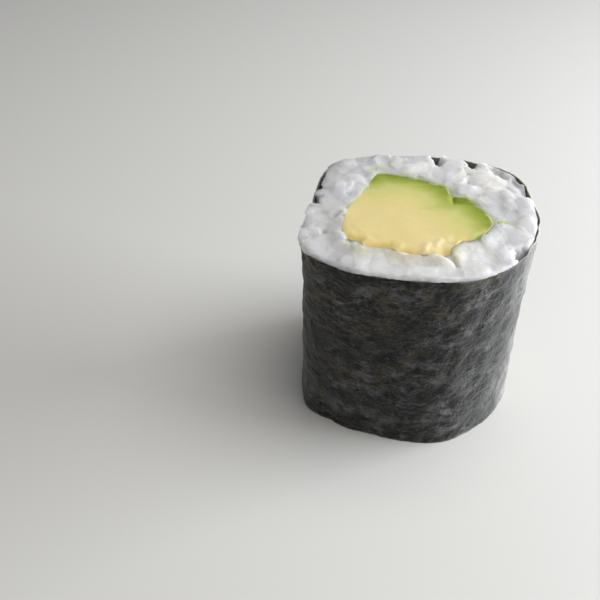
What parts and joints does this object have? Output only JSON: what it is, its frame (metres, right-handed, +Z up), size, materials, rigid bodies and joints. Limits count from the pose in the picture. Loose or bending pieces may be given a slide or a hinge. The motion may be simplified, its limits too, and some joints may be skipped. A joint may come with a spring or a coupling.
{
  "type": "avocado maki roll piece",
  "caption": "Upright piece of maki sushi: a nori sheet wrapped round a ring of cooked rice with a wedge of avocado running through it.",
  "frame": {"origin": "middle of the lower cut face, on the surface that the piece stands on", "axes": "+Z up along the axis of the roll, +X along the wide way of its section, +Y away from the side that the picture shows"},
  "size_m": [0.0288, 0.0273, 0.0279],
  "materials": {
    "nori": "toasted seaweed sheet, green-black and fibrous, softly glossy where it is damp",
    "rice": "moist cooked short-grain rice, milky and slightly translucent",
    "avocado": "ripe avocado flesh, pale yellow turning green towards the skin side, buttery"
  },
  "bodies": {
    "root": {"nori_wrap": "nori", "rice_ring": "rice", "avocado_wedge": "avocado"}
  },
  "joints": []
}
